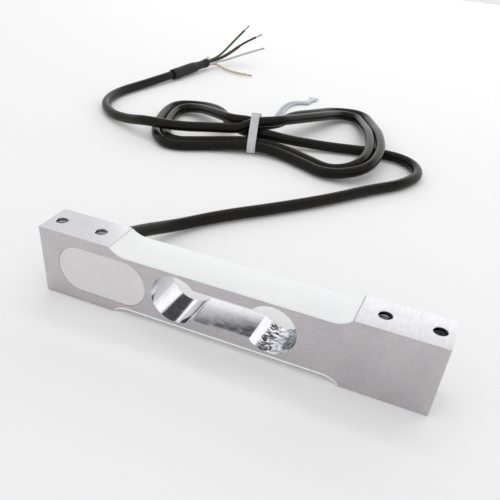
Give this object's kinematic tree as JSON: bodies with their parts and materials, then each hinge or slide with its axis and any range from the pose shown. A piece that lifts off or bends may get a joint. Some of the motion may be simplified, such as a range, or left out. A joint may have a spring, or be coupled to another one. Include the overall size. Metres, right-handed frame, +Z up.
{
  "type": "single point load cell",
  "caption": "Slim aluminium single point load cell with a binocular spring window, sealed gauge pads, a potted side pocket, tapped ends and a tied black signal cable.",
  "frame": {"origin": "centre of the beam's bottom face, on the surface that it rests on", "axes": "+X along the beam from the cable (fixed) end to the load end, +Y to the side that the cable leaves from, +Z up through the gauged faces"},
  "size_m": [0.2235, 0.3114, 0.0251],
  "materials": {
    "machined_aluminium": "satin machined faces, bright bored holes",
    "strain_gauge": "amber film",
    "gauge_ribbon": "flat enamelled leads",
    "white_sealant": "smooth white silicone",
    "trim_board": "green laminate",
    "trim_resistor": "black chips",
    "cable_jacket": "soft semi-gloss",
    "shrink_sleeve": "semi-matt shrink tube",
    "nylon_tie": "natural nylon",
    "potting": "pale grey silicone",
    "core_green": "insulation",
    "core_black": "insulation",
    "core_red": "insulation",
    "core_white": "insulation",
    "core_shield": "cream shield sleeve",
    "tinned_strand": "bare tinned strands"
  },
  "bodies": {
    "root": {"beam_body": "machined_aluminium", "strain_gauge_top_fixed": "strain_gauge", "strain_gauge_top_load": "strain_gauge", "gauge_leads_top": "gauge_ribbon", "strain_gauge_bottom_fixed": "strain_gauge", "strain_gauge_bottom_load": "strain_gauge", "gauge_leads_bottom": "gauge_ribbon", "top_sealant": "white_sealant", "bottom_sealant": "white_sealant", "trim_board": "trim_board", "trim_resistor_1": "trim_resistor", "trim_resistor_2": "trim_resistor", "trim_resistor_3": "trim_resistor", "cable_lead_in": "cable_jacket", "cable_hank": "cable_jacket", "cable_tail": "cable_jacket", "end_sleeve": "shrink_sleeve", "core_green": "core_green", "tip_green": "tinned_strand", "core_black": "core_black", "tip_black": "tinned_strand", "core_red": "core_red", "tip_red": "tinned_strand", "core_white": "core_white", "tip_white": "tinned_strand", "core_shield": "core_shield", "tip_shield": "tinned_strand", "cable_tie": "nylon_tie", "inner_core_red": "core_red", "inner_core_green": "core_green", "inner_core_white": "core_white", "inner_core_black": "core_black", "side_potting": "potting", "cable_seal": "potting"}
  },
  "joints": []
}
